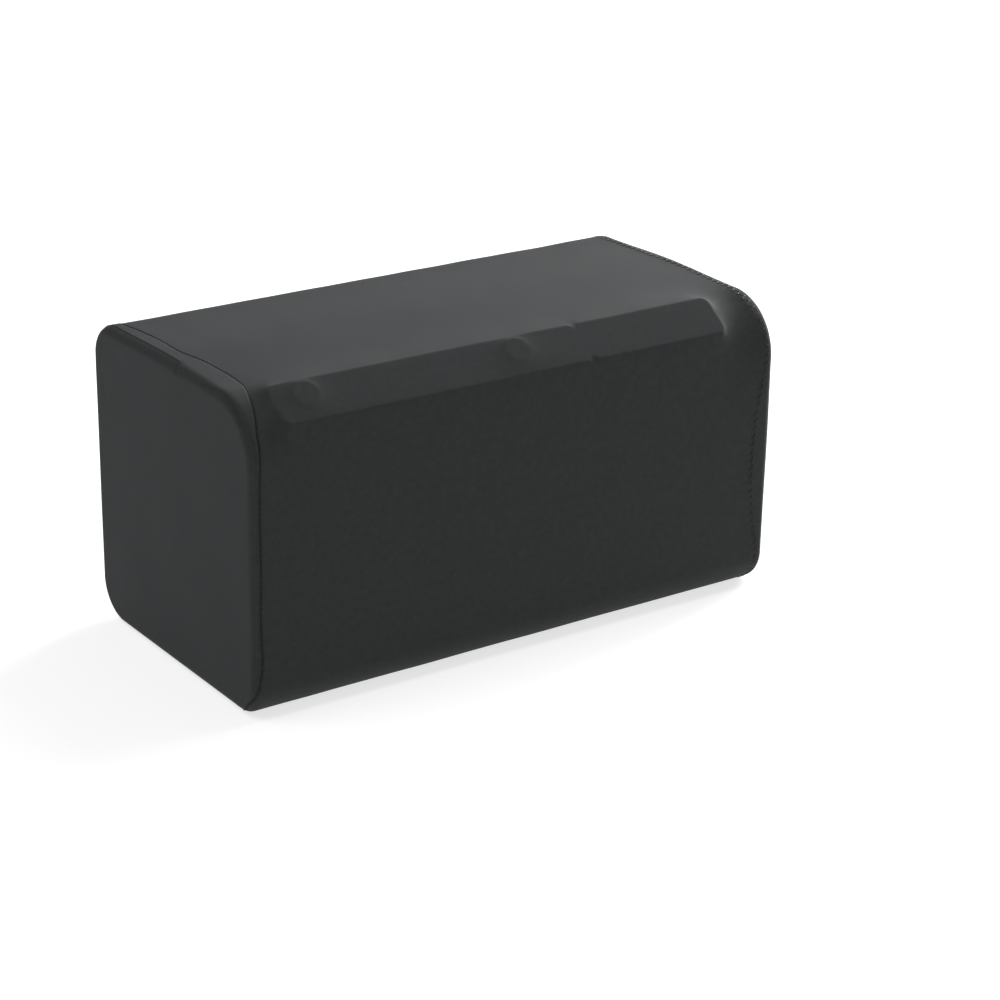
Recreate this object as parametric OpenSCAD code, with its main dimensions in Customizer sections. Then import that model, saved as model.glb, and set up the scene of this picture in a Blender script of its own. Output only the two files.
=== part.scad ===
// Fitted stretch-knit dust cover on a light support frame, for a desktop printer.
// Units are millimetres. +X runs along the length, -Y is the front, +Z is up.
// The origin is the centre of the footprint, on the surface the cover stands on.

/* [Cover] */
// outside length of the cover, left to right
cover_length = 375; // [330:5:420]
// outside depth of the cover, front to rear
cover_depth = 190; // [170:5:220]
// height of the flat top above the floor
cover_height = 190; // [170:5:220]
// thickness of the knitted cloth
cloth = 1; // [0.8:0.1:1.5]
// radius of the long edge between the front and the top
top_front_radius = 37.5; // [30:0.5:42]
// radius of the long edge between the rear and the top
top_rear_radius = 20.5; // [18:0.5:30]
// radius of the long edge between the rear and the floor
bottom_rear_radius = 25; // [18:0.5:25.5]
// radius of the long edge between the front and the floor
bottom_front_radius = 21; // [18:0.5:25.5]

/* [Seams] */
// distance from each end to the seam that joins it to the wrap
seam_inset = 10.5; // [10:0.1:12]
// width of the groove that the seam thread fills
seam_groove = 0.8; // [0.6:0.1:1]
// width of the tape that backs each seam on the inside
tape_width = 8; // [6:0.5:10]
// thickness of the seam tape
tape_thickness = 0.8; // [0.5:0.1:0.8]

/* [Hem] */
// height where the walls become the stretchy hem
hem_height = 26; // [26:0.5:30]
// how far the hem turns in under the front and the rear
hem_return = 17; // [12:1:20]
// how far in from each end the turned-in hem reaches
hem_end_return = 24.5; // [20:0.5:28]
// width of the casing that holds the elastic
casing_width = 4; // [3.5:0.1:5]
// height of the casing
casing_height = 3.4; // [3.2:0.1:4]
// diameter of the elastic loop
elastic_diameter = 2; // [1.5:0.1:2.2]
// corner radius of the elastic loop
mouth_radius = 10; // [8:1:16]

/* [Frame] */
// outside diameter of the hoop tube
tube_diameter = 9; // [8:0.1:9]
// wall thickness of the hoop tube
tube_wall = 1; // [0.8:0.1:1.5]
// length of the plug that joins the two ends of a hoop
plug_length = 40; // [24:2:60]
// wall thickness of the corner rails
rail_wall = 2.4; // [2:0.1:3]
// flat width of a rail on each side of its rounded corner
rail_flat = 8; // [4:1:10]
// sector of the hoop corner that each clip holds, in degrees
clip_sector = 60; // [40:5:70]

/* [Edge bar] */
// height of the upper edge of the bar, measured over the cloth
bar_top_height = 193; // [191:0.5:196]
// height of the lower edge of the bar, measured over the cloth
bar_foot_height = 176; // [170:0.5:180]
// how far the upper edge of the bar lies behind the front
bar_setback = 23.8; // [20:0.1:26]
// left end of the long bar
bar_left = -164; // [-166:1:-150]
// right end of the short bar
bar_right = 148; // [130:1:160]
// where the two bars meet
bar_joint = 47.5; // [20:0.5:80]
// gap between the two bars
bar_gap = 3; // [1:0.5:6]
// thickness of both bars
bar_thickness = 5; // [4:0.5:5]
// corner radius of both bars
bar_corner = 6; // [2:1:10]
// diameter of the flat head of each quarter-turn fastener
disc_diameter = 16; // [12:0.5:16]
// how far the discs lie above the middle of the bar
disc_rise = 4.2; // [0:0.1:4.5]
// position of the left disc along the bar
left_disc_x = -143; // [-150:1:-100]
// position of the middle disc along the bar
middle_disc_x = 1; // [-40:1:30]

/* [Hidden] */
$fn = 96;

eps = 0.01;
gap = 0.3;                          // smallest air gap between the cover and the frame
half_length = cover_length / 2;
half_depth = cover_depth / 2;
wrap_end = half_length - seam_inset - seam_groove / 2;
frame_inset = cloth + gap;          // depth of the frame's outer surface below the cover's
tube_radius = tube_diameter / 2;
tube_inset = frame_inset + tube_radius;
edge_radius = tube_inset;           // the cloth follows the tube round each end
rim = 12;                           // width of the rolled rim of an end panel

// Each corner is [centre y, centre z, outside radius, start angle].
top_front = [top_front_radius - half_depth, cover_height - top_front_radius, top_front_radius, 90];
top_rear = [half_depth - top_rear_radius, cover_height - top_rear_radius, top_rear_radius, 0];
bottom_rear = [half_depth - bottom_rear_radius, bottom_rear_radius, bottom_rear_radius, 270];
bottom_front = [bottom_front_radius - half_depth, bottom_front_radius, bottom_front_radius, 180];
corners = [top_front, top_rear, bottom_rear, bottom_front];

// Each side is [outward angle, distance from the origin, start, end], the last two along the side.
top_side = [90, cover_height, -top_rear[0], -top_front[0]];
rear_side = [0, half_depth, hem_height, top_rear[1]];
front_side = [180, half_depth, -top_front[1], -hem_height];
bottom_side = [270, 0, bottom_front[0], bottom_rear[0]];
rear_hem_side = [0, half_depth, bottom_rear[1], hem_height];
front_hem_side = [180, half_depth, -hem_height, -bottom_front[1]];

// The frame's clips and rails.
rail_inset = frame_inset + 0.9;     // leaves room for the seam tape
rail_end = tube_inset + tube_radius + gap;
clip_depth = 14;
clip_from = 2.5;
clip_to = 17.5;
tongue_to = 34;
tongue_thickness = 4;
screw_at = 26;
shank_radius = 1.45;
head_radius = 2.9;
head_depth = 1.6;
hole_radius = 1.5;

// The bars lie in a sloping plane. Its own x, y and z are along the bar, up the slope and outward.
bar_front_step = 0.2;
bar_foot_y = bar_front_step - half_depth;
bar_top_y = bar_setback - half_depth;
bar_tilt = atan2(bar_top_height - bar_foot_height, bar_top_y - bar_foot_y);
bar_y = (bar_top_y + bar_foot_y) / 2;
bar_z = (bar_top_height + bar_foot_height) / 2;
bar_slope = norm([bar_top_y - bar_foot_y, bar_top_height - bar_foot_height]);
bar_width = bar_slope - 2 * frame_inset;
bar_back = frame_inset + bar_thickness;
ridge_end_y = 60;                   // where the cloth behind the bar comes down to the flat top
ridge_tilt = atan2(bar_top_height - cover_height, ridge_end_y - bar_top_y);
beam_width = 16;
beam_rise = 2;
beam_thickness = 4;
beam_back = bar_back + beam_thickness;
bracket_thickness = 4.7;
beam_screw_at = 18;
bar_screw_xs = [64, 98, 132];
stud_radius = 3;
pin_radius = 1.5;
pin_length = 12;
pin_drop = gap + pin_radius;

// ---------- helpers ----------

// Extrudes a y-z outline along x.
module along_x(from, to) {
  translate([from, 0, 0])
    rotate([90, 0, 90])
      linear_extrude(to - from)
        children();
}

// Carries a section of (depth below the surface, distance from the end) along a straight side.
module along_side(side) {
  rotate([side[0], 0, 0])
    translate([0, 0, side[3]])
      rotate(180, [1, 1, 0])
        linear_extrude(side[3] - side[2])
          translate([side[1], 0])
            mirror([1, 0])
              children();
}

// Carries the same section round a corner, or round the middle sector of it.
module around_corner(corner, sector = 90) {
  translate([0, corner[0], corner[1]])
    rotate([90, 0, 90])
      rotate([0, 0, corner[3] + 45 - sector / 2])
        rotate_extrude(angle = sector)
          translate([corner[2], 0])
            mirror([1, 0])
              children();
}

module left_end() {
  translate([-half_length, 0, 0])
    children();
}

module right_end() {
  mirror([1, 0, 0])
    left_end()
      children();
}

// Places children on a corner's diagonal, with their z pointing outward and 0 at the given depth.
module on_diagonal(corner, x, depth) {
  translate([x, corner[0], corner[1]])
    rotate([corner[3] + 45 - 90, 0, 0])
      translate([0, 0, corner[2] - depth])
        children();
}

module on_bar(x = 0, rise = 0) {
  translate([x, bar_y, bar_z])
    rotate([bar_tilt, 0, 0])
      translate([0, rise, 0])
        children();
}

// The square corner that lies outside one rounded corner of the outline.
module corner_waste(corner, inset) {
  translate([corner[0], corner[1]])
    rotate(corner[3])
      difference() {
        square(corner[2] + 1);
        circle(corner[2] - inset);
      }
}

// The rounded y-z outline of the cover, moved in by a distance.
module outline(inset) {
  difference() {
    translate([inset - half_depth, inset])
      square([cover_depth - 2 * inset, cover_height - 2 * inset]);
    for (corner = corners)
      corner_waste(corner, inset);
  }
}

module outline_ring(outer, inner) {
  difference() {
    outline(outer);
    outline(inner);
  }
}

// A rounded rectangle centred on the origin.
module rounded_plate(length, width, radius, thickness) {
  linear_extrude(thickness)
    difference() {
      square([length, width], center = true);
      for (sx = [-1, 1], sy = [-1, 1])
        translate([sx * (length / 2 - radius), sy * (width / 2 - radius)])
          scale([sx, sy])
            difference() {
              square(radius + 1);
              circle(radius);
            }
    }
}

// A countersunk screw, its head flush with z = 0 and pointing up.
module countersunk_screw(length) {
  translate([0, 0, -head_depth])
    cylinder(h = head_depth, r1 = shank_radius, r2 = head_radius);
  translate([0, 0, -length])
    cylinder(h = length - head_depth, r = shank_radius);
}

module countersunk_hole(length) {
  translate([0, 0, -head_depth])
    cylinder(h = head_depth, r1 = hole_radius, r2 = head_radius + 0.05);
  translate([0, 0, -eps])
    cylinder(h = 2, r = head_radius + 0.05);
  translate([0, 0, -length])
    cylinder(h = length - head_depth + eps, r = hole_radius);
}

// ---------- cloth ----------

// The height of the sloping face over the bars, moved in by a distance.
function bevel_z(y, inset) = bar_z + (y - bar_y) * tan(bar_tilt) - inset / cos(bar_tilt);

// Where that face meets the cloth that runs back from the bars.
function ridge_y(inset) =
  (bar_top_height - inset + bar_top_y * tan(ridge_tilt) - bevel_z(0, inset))
  / (tan(bar_tilt) + tan(ridge_tilt));

// The room that the cloth makes over the bars, moved in by a distance.
module bar_bulge(inset) {
  foot_y = bar_foot_y + inset;
  low = cover_height - 60;
  along_x(bar_left - frame_inset + inset, bar_right + frame_inset - inset)
    polygon([
      [foot_y, low],
      [foot_y, bevel_z(foot_y, inset)],
      [ridge_y(inset), bevel_z(ridge_y(inset), inset)],
      [ridge_end_y, cover_height - inset],
      [ridge_end_y, low]
    ]);
}

// A low cone over each disc.
module disc_bumps(inset) {
  for (x = [left_disc_x, middle_disc_x])
    on_bar(x, disc_rise)
      translate([0, 0, -0.5 - inset])
        cylinder(h = 1.3, r1 = disc_diameter / 2 + 2.5 - inset, r2 = disc_diameter / 2 + 1.4 - inset);
}

module wrap_panel() {
  color([0.2, 0.21, 0.21])
    difference() {
      union() {
        along_x(-wrap_end, wrap_end)
          outline(0);
        bar_bulge(0);
        disc_bumps(0);
      }
      along_x(-wrap_end - 1, wrap_end + 1)
        outline(cloth);
      bar_bulge(cloth);
      disc_bumps(cloth);
      translate([-half_length, -cover_depth, -1])
        cube([cover_length, 2 * cover_depth, hem_height + 1]);
    }
}

// The rolled rim of an end, from the flat end face round to the seam.
module rim_section(to) {
  difference() {
    square([rim, to]);
    translate([cloth, edge_radius])
      square([rim, to]);
    translate([edge_radius, cloth])
      square([rim, to]);
    translate([edge_radius, edge_radius])
      circle(edge_radius - cloth);
    difference() {
      translate([-1, -1])
        square(edge_radius + 1);
      translate([edge_radius, edge_radius])
        circle(edge_radius);
    }
  }
}

module end_face(from, to) {
  along_x(0, cloth)
    intersection() {
      outline(rim);
      translate([-half_depth, from])
        square([cover_depth, to - from]);
    }
}

module end_panel() {
  for (side = [top_side, rear_side, front_side])
    along_side(side)
      rim_section(seam_inset - seam_groove / 2);
  for (corner = [top_front, top_rear])
    around_corner(corner)
      rim_section(seam_inset - seam_groove / 2);
  end_face(hem_height, cover_height);
}

module left_end_panel() {
  color([0.23, 0.24, 0.24])
    left_end()
      end_panel();
}

module right_end_panel() {
  color([0.23, 0.24, 0.24])
    right_end()
      end_panel();
}

// Carries a section along every seam above the hem.
module along_seam() {
  for (side = [top_side, rear_side, front_side])
    along_side(side)
      children();
  for (corner = [top_front, top_rear])
    around_corner(corner)
      children();
}

module seam_tape() {
  along_seam()
    translate([cloth, seam_inset - seam_groove / 2 - 1.3])
      square([tape_thickness, tape_width]);
}

module left_seam_tape() {
  color([0.1, 0.1, 0.1])
    left_end()
      seam_tape();
}

module right_seam_tape() {
  color([0.1, 0.1, 0.1])
    right_end()
      seam_tape();
}

module seam_thread() {
  along_seam()
    translate([0.2, seam_inset - seam_groove / 2])
      square([cloth - 0.4, seam_groove]);
}

module left_seam_thread() {
  color([0.07, 0.07, 0.07])
    left_end()
      seam_thread();
}

module right_seam_thread() {
  color([0.07, 0.07, 0.07])
    right_end()
      seam_thread();
}

// ---------- hem ----------

module long_hem(corner, sign) {
  low = sign < 0 ? -half_depth : corner[0];
  high = sign < 0 ? corner[0] : half_depth;
  return_from = sign < 0 ? corner[0] : corner[0] - hem_return;
  along_x(-wrap_end, wrap_end)
    intersection() {
      outline_ring(0, cloth);
      translate([low, 0])
        square([high - low, hem_height]);
    }
  along_x(hem_end_return - half_length, half_length - hem_end_return)
    translate([return_from, 0])
      square([hem_return, cloth]);
}

module front_hem() {
  color([0.2, 0.21, 0.21])
    long_hem(bottom_front, -1);
}

module rear_hem() {
  color([0.2, 0.21, 0.21])
    long_hem(bottom_rear, 1);
}

module end_hem() {
  seam = half_length - wrap_end;
  for (side = [rear_hem_side, front_hem_side])
    along_side(side)
      rim_section(seam);
  for (corner = [bottom_rear, bottom_front])
    around_corner(corner)
      rim_section(seam);
  along_side(bottom_side)
    rim_section(hem_end_return);
  end_face(rim, hem_height);
}

module left_hem() {
  color([0.23, 0.24, 0.24])
    left_end()
      end_hem();
}

module right_hem() {
  color([0.23, 0.24, 0.24])
    right_end()
      end_hem();
}

mouth_x = half_length - hem_end_return - casing_width / 2;
mouth_front = bottom_front[0] + hem_return + casing_width / 2;
mouth_rear = bottom_rear[0] - hem_return - casing_width / 2;

// Carries a section of (distance outward, height) round the mouth of the cover.
module around_mouth() {
  for (sx = [-1, 1])
    translate([sx * mouth_x, sx < 0 ? mouth_rear - mouth_radius : mouth_front + mouth_radius, 0])
      rotate([90, 0, sx < 0 ? 180 : 0])
        translate([0, 0, mouth_front + 2 * mouth_radius - mouth_rear])
          linear_extrude(mouth_rear - mouth_front - 2 * mouth_radius)
            children();
  for (sy = [-1, 1])
    translate([0, sy < 0 ? mouth_front : mouth_rear, 0])
      rotate([90, 0, sy * 90])
        linear_extrude(2 * (mouth_x - mouth_radius), center = true)
          children();
  for (sx = [-1, 1], sy = [-1, 1])
    translate([
      sx * (mouth_x - mouth_radius),
      sy < 0 ? mouth_front + mouth_radius : mouth_rear - mouth_radius,
      0
    ])
      rotate([0, 0, sx * sy > 0 ? (sx > 0 ? 0 : 180) : (sx > 0 ? 270 : 90)])
        rotate_extrude(angle = 90)
          translate([mouth_radius, 0])
            children();
}

// The casing is left open at the middle of the rear, where the elastic is threaded in and tied.
module hem_casing() {
  opening = 14;
  color([0.16, 0.17, 0.17])
    difference() {
      around_mouth()
        difference() {
          translate([-casing_width / 2, 0])
            square([casing_width, casing_height]);
          translate([0, casing_height / 2])
            circle(elastic_diameter / 2 + 0.2);
        }
      translate([-opening / 2, mouth_rear - casing_width, -1])
        cube([opening, 2 * casing_width, casing_height + 2]);
    }
}

module hem_elastic() {
  color([0.85, 0.85, 0.83])
    around_mouth()
      translate([0, casing_height / 2])
        circle(elastic_diameter / 2);
}

module care_label() {
  label_width = 30;
  label_height = 22;
  label_thickness = 0.6;
  color([0.93, 0.93, 0.9])
    translate([120, half_depth - cloth - label_thickness, hem_height + 6])
      cube([label_width, label_thickness, label_height]);
}

// ---------- hoops and rails ----------

module tube_section() {
  translate([tube_inset, tube_inset])
    difference() {
      circle(tube_radius);
      circle(tube_radius - tube_wall);
    }
}

// A closed hoop of bent tube whose two ends meet at the middle of the bottom run.
module hoop() {
  seam_half = 0.5;
  full_rear = [0, half_depth, bottom_rear[1], top_rear[1]];
  full_front = [180, half_depth, -top_front[1], -bottom_front[1]];
  front_run = [270, 0, bottom_front[0], -seam_half];
  rear_run = [270, 0, seam_half, bottom_rear[0]];
  for (side = [top_side, full_rear, full_front, front_run, rear_run])
    along_side(side)
      tube_section();
  for (corner = corners)
    around_corner(corner)
      tube_section();
}

module hoop_plug() {
  translate([tube_inset, -plug_length / 2, tube_inset])
    rotate([-90, 0, 0])
      cylinder(h = plug_length, r = tube_radius - tube_wall - 0.05);
}

module left_hoop() {
  color([0.55, 0.56, 0.58])
    left_end()
      hoop();
}

module right_hoop() {
  color([0.55, 0.56, 0.58])
    right_end()
      hoop();
}

module left_hoop_plug() {
  color([0.3, 0.3, 0.32])
    left_end()
      hoop_plug();
}

module right_hoop_plug() {
  color([0.3, 0.3, 0.32])
    right_end()
      hoop_plug();
}

// A thin rail that holds one long edge of the cover to its rounded shape.
module rail(corner) {
  reach = corner[2] + rail_flat;
  quadrant = corner[3];
  difference() {
    along_x(rail_end - half_length, half_length - rail_end)
      intersection() {
        outline_ring(rail_inset, rail_inset + rail_wall);
        translate([corner[0], corner[1]])
          rotate(quadrant)
            translate([-rail_flat, -rail_flat])
              square(reach);
      }
    for (sx = [-1, 1])
      on_diagonal(corner, sx * (half_length - screw_at), rail_inset + gap)
        countersunk_hole(6);
  }
}

module top_rear_rail() {
  color([0.12, 0.12, 0.13])
    rail(top_rear);
}

module bottom_rear_rail() {
  color([0.12, 0.12, 0.13])
    rail(bottom_rear);
}

module bottom_front_rail() {
  color([0.12, 0.12, 0.13])
    rail(bottom_front);
}

// A saddle that sits inside a hoop corner, with a tongue that carries a rail.
module saddle_section(tongue) {
  difference() {
    union() {
      translate([tube_inset, clip_from])
        square([clip_depth - tube_inset, clip_to - clip_from]);
      if (tongue)
        translate([rail_inset + rail_wall, rail_end])
          square([tongue_thickness, tongue_to - rail_end]);
    }
    translate([tube_inset, tube_inset])
      circle(tube_radius + 0.05);
  }
}

module clip(corner) {
  difference() {
    around_corner(corner, clip_sector)
      saddle_section(true);
    on_diagonal(corner, screw_at, rail_inset + gap)
      translate([0, 0, -clip_depth])
        cylinder(h = clip_depth, r = hole_radius);
  }
}

module left_top_rear_clip() {
  color([0.16, 0.16, 0.17])
    left_end()
      clip(top_rear);
}

module left_bottom_rear_clip() {
  color([0.16, 0.16, 0.17])
    left_end()
      clip(bottom_rear);
}

module left_bottom_front_clip() {
  color([0.16, 0.16, 0.17])
    left_end()
      clip(bottom_front);
}

module right_top_rear_clip() {
  color([0.16, 0.16, 0.17])
    right_end()
      clip(top_rear);
}

module right_bottom_rear_clip() {
  color([0.16, 0.16, 0.17])
    right_end()
      clip(bottom_rear);
}

module right_bottom_front_clip() {
  color([0.16, 0.16, 0.17])
    right_end()
      clip(bottom_front);
}

module rail_screws() {
  color([0.7, 0.7, 0.72])
    for (corner = [top_rear, bottom_rear, bottom_front], sx = [-1, 1])
      on_diagonal(corner, sx * (half_length - screw_at), rail_inset + gap)
        countersunk_screw(7);
}

// ---------- edge bar ----------

module bracket() {
  difference() {
    union() {
      around_corner(top_front, clip_sector)
        saddle_section(false);
      on_bar(0, beam_rise)
        translate([rail_end, -beam_width / 2, -beam_back - bracket_thickness])
          cube([tongue_to - rail_end, beam_width, bracket_thickness]);
    }
    on_bar(rail_end)
      translate([0, -cover_depth, -beam_back])
        cube([tongue_to, 2 * cover_depth, cover_height]);
    on_bar(beam_screw_at, beam_rise)
      translate([0, 0, -beam_back - 2 * bracket_thickness])
        cylinder(h = 2 * bracket_thickness + 1, r = hole_radius);
  }
}

module left_bar_bracket() {
  color([0.16, 0.16, 0.17])
    left_end()
      bracket();
}

module right_bar_bracket() {
  color([0.16, 0.16, 0.17])
    right_end()
      bracket();
}

// The flat beam between the hoops, with a keyhole for each quarter-turn fastener.
module bar_beam() {
  beam_half = half_length - rail_end;
  color([0.6, 0.61, 0.63])
    difference() {
      on_bar(0, beam_rise)
        translate([-beam_half, -beam_width / 2, -beam_back])
          cube([2 * beam_half, beam_width, beam_thickness]);
      for (sx = [-1, 1])
        on_bar(sx * (half_length - beam_screw_at), beam_rise)
          translate([0, 0, -bar_back])
            countersunk_hole(6);
      for (x = bar_screw_xs)
        on_bar(x)
          translate([0, 0, -beam_back - 1])
            cylinder(h = beam_thickness + 2, r = hole_radius);
      for (x = [left_disc_x, middle_disc_x])
        on_bar(x, disc_rise)
          translate([0, 0, -beam_back - 1]) {
            cylinder(h = beam_thickness + 2, r = stud_radius + 0.05);
            translate([-pin_length / 2 - gap, -pin_radius - gap, 0])
              cube([pin_length + 2 * gap, 2 * (pin_radius + gap), beam_thickness + 2]);
          }
    }
}

module beam_screws() {
  color([0.7, 0.7, 0.72])
    for (sx = [-1, 1])
      on_bar(sx * (half_length - beam_screw_at), beam_rise)
        translate([0, 0, -bar_back])
          countersunk_screw(8);
}

module flat_bar(from, to) {
  on_bar((from + to) / 2)
    translate([0, 0, -bar_back])
      rounded_plate(to - from, bar_width, bar_corner, bar_thickness);
}

module long_bar() {
  color([0.1, 0.1, 0.11])
    difference() {
      flat_bar(bar_left, bar_joint - bar_gap / 2);
      for (x = [left_disc_x, middle_disc_x])
        on_bar(x, disc_rise)
          translate([0, 0, -bar_back - 1])
            cylinder(h = bar_thickness + 2, r = stud_radius + 0.05);
    }
}

module short_bar() {
  color([0.1, 0.1, 0.11])
    difference() {
      flat_bar(bar_joint + bar_gap / 2, bar_right);
      for (x = bar_screw_xs)
        on_bar(x)
          translate([0, 0, -frame_inset])
            countersunk_hole(bar_thickness + 1);
    }
}

module bar_screws() {
  color([0.7, 0.7, 0.72])
    for (x = bar_screw_xs)
      on_bar(x)
        translate([0, 0, -frame_inset])
          countersunk_screw(bar_thickness + beam_thickness - 1);
}

// A flat round head with a coin slot, on a stud that reaches through the bar and the beam.
module fastener_stud(x) {
  head_height = 0.8;
  slot_depth = 0.4;
  slot_width = 1.6;
  slot_length = 12;
  stud_length = beam_back - frame_inset + 2 * pin_drop;
  on_bar(x, disc_rise)
    translate([0, 0, -frame_inset])
      difference() {
        union() {
          cylinder(h = head_height, r = disc_diameter / 2);
          translate([0, 0, -stud_length])
            cylinder(h = stud_length + eps, r = stud_radius);
        }
        translate([-slot_width / 2, -slot_length / 2, head_height - slot_depth])
          cube([slot_width, slot_length, slot_depth + 1]);
        translate([0, 0, frame_inset - beam_back - pin_drop])
          rotate([90, 0, 0])
            cylinder(h = 2 * disc_diameter, r = pin_radius + 0.02, center = true);
      }
}

// The cross pin lies across the keyhole when the fastener is locked.
module fastener_pin(x) {
  on_bar(x, disc_rise)
    translate([0, 0, -beam_back - pin_drop])
      rotate([90, 0, 0])
        cylinder(h = pin_length, r = pin_radius, center = true);
}

module left_fastener_stud() {
  color([0.14, 0.14, 0.15])
    fastener_stud(left_disc_x);
}

module left_fastener_pin() {
  color([0.72, 0.72, 0.74])
    fastener_pin(left_disc_x);
}

module middle_fastener_stud() {
  color([0.14, 0.14, 0.15])
    fastener_stud(middle_disc_x);
}

module middle_fastener_pin() {
  color([0.72, 0.72, 0.74])
    fastener_pin(middle_disc_x);
}

// ---------- nodes ----------

wrap_panel();
left_end_panel();
right_end_panel();
left_seam_tape();
right_seam_tape();
left_seam_thread();
right_seam_thread();
front_hem();
rear_hem();
left_hem();
right_hem();
hem_casing();
hem_elastic();
care_label();
left_hoop();
right_hoop();
left_hoop_plug();
right_hoop_plug();
top_rear_rail();
bottom_rear_rail();
bottom_front_rail();
left_top_rear_clip();
left_bottom_rear_clip();
left_bottom_front_clip();
right_top_rear_clip();
right_bottom_rear_clip();
right_bottom_front_clip();
rail_screws();
left_bar_bracket();
right_bar_bracket();
bar_beam();
beam_screws();
long_bar();
short_bar();
bar_screws();
left_fastener_stud();
left_fastener_pin();
middle_fastener_stud();
middle_fastener_pin();
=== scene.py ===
"""Looks of the fitted printer cover: stretched knit cloth, seams, elastic hem and the frame inside."""

import math

import bpy
import numpy as np
from mathutils import Matrix, Vector
from mathutils.geometry import delaunay_2d_cdt

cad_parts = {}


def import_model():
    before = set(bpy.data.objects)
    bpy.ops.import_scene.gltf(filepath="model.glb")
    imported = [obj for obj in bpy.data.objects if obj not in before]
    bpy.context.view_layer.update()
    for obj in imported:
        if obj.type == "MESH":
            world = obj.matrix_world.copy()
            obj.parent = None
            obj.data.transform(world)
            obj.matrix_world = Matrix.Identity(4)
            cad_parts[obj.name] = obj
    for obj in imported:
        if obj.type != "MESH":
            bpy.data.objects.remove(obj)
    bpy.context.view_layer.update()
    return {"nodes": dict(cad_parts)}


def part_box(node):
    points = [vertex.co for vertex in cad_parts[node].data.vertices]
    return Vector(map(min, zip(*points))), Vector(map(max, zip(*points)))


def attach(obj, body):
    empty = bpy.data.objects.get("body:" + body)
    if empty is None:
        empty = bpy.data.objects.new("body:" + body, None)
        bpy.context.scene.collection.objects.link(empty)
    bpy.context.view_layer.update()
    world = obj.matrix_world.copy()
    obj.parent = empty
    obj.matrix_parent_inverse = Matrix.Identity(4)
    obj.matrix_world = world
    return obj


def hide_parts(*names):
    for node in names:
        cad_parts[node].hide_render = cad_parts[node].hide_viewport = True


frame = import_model()

MM = 0.001

# ---------------------------------------------------------------- sizes taken from the CAD part

END_LOW, END_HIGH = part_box("left_end_panel")
HALF_LENGTH = -END_LOW.x
HALF_DEPTH = END_HIGH.y
TOP = END_HIGH.z
TUBE_LOW, TUBE_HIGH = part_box("left_hoop")
FRAME_INSET = TUBE_LOW.z                      # cloth and air gap over the frame
TUBE_RADIUS = (TUBE_HIGH.x - TUBE_LOW.x) / 2
EDGE_RADIUS = FRAME_INSET + TUBE_RADIUS       # the cloth rounds the hoop tube
LONG_LOW, LONG_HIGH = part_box("long_bar")
SHORT_LOW, SHORT_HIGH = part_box("short_bar")
CASING_LOW, CASING_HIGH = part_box("hem_casing")
LABEL_LOW, LABEL_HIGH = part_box("care_label")

TOP_FRONT_RADIUS = 37.5 * MM
TOP_REAR_RADIUS = 20.5 * MM
BOTTOM_REAR_RADIUS = 25 * MM
BOTTOM_FRONT_RADIUS = 21 * MM
BAR_FOOT = (-94.8 * MM, 176 * MM)             # lower edge of the sloping face, as y and z
BAR_HEAD = (-71.2 * MM, 193 * MM)             # its upper edge
BAR_CORNER = 6 * MM
DISC_RISE = 3.7 * MM
DISC_RADIUS = 8.7 * MM                        # the disc with the cloth bent over it
DISC_HEIGHT = 1.1 * MM
DISC_XS = [(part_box(n)[0].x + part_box(n)[1].x) / 2 for n in ("left_fastener_stud", "middle_fastener_stud")]
CLOTH = 0.9 * MM
QUARTER = EDGE_RADIUS * math.pi / 2           # length of the rounded edge of an end
CROWN = 1.5 * MM
ALLOWANCE = 0.50 * MM                         # how far the folded allowance lifts the cloth
RIM_END = QUARTER + 9 * MM                    # where the rim of an end meets its flat middle
RIGHT_BULGE = 1.4 * MM
SEAM_COLUMNS = 26                             # of the wrap, from each seam to its middle part
BAND_COLUMNS = 22                             # of an end, from the seam to the crease beside it
RIM_COLUMNS = 28                              # of an end, from that crease to its flat middle
STITCH_PITCH = {"left": 1.6 * MM, "right": 2.6 * MM}
STITCH_HALF_WIDTH = {"left": 0.5 * MM, "right": 1.6 * MM}
THREAD_RADIUS = {"left": 0.20 * MM, "right": 0.16 * MM}
HOLE_SHADE_KNOT_RADIUS = {"left": 0.30 * MM, "right": 0.75 * MM}   # the thread swells into a near-black knot at each turn, where it pulls into the cloth: painted shade of the needle holes
TAPE_WIDTH = 8 * MM
CASING_WIDTH = 4 * MM
CHANNEL_CLOTH = 0.45 * MM
CHANNEL_GAP = 14 * MM                         # the channel is open here, at the middle of the rear
GATHER_PITCH = 6.5 * MM
ELASTIC_RADIUS = 0.88 * MM
BRAID_PITCH = 4 * MM
MOUTH_RADIUS = 10 * MM
MOUTH_STEPS = 12                              # steps round each corner of the mouth
FINE_STEP = 0.75 * MM                         # between the wrap's columns beside a bar's end or a disc
WIDER_STEP = 1.6 * MM                         # and how much wider away from them

# ---------------------------------------------------------------- the outline round the cover

# Each corner is centre y, centre z, radius, start angle and end angle, met in this order from the
# middle of the floor side: round the front, over the top and down the rear.
CORNERS = [
    (BOTTOM_FRONT_RADIUS - HALF_DEPTH, BOTTOM_FRONT_RADIUS, BOTTOM_FRONT_RADIUS, 270, 180),
    (TOP_FRONT_RADIUS - HALF_DEPTH, TOP - TOP_FRONT_RADIUS, TOP_FRONT_RADIUS, 180, 90),
    (HALF_DEPTH - TOP_REAR_RADIUS, TOP - TOP_REAR_RADIUS, TOP_REAR_RADIUS, 90, 0),
    (HALF_DEPTH - BOTTOM_REAR_RADIUS, BOTTOM_REAR_RADIUS, BOTTOM_REAR_RADIUS, 0, -90),
]
MOUTH_FRONT = CORNERS[0][0] + 17 * MM         # where the turned-in hem ends
MOUTH_REAR = CORNERS[3][0] - 17 * MM
MOUTH_INSET = 24.5 * MM                       # how far the hem turns in from each end
MIDDLE = HALF_LENGTH - MOUTH_INSET - 5 * MM   # the part of the wrap with straight columns


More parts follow.
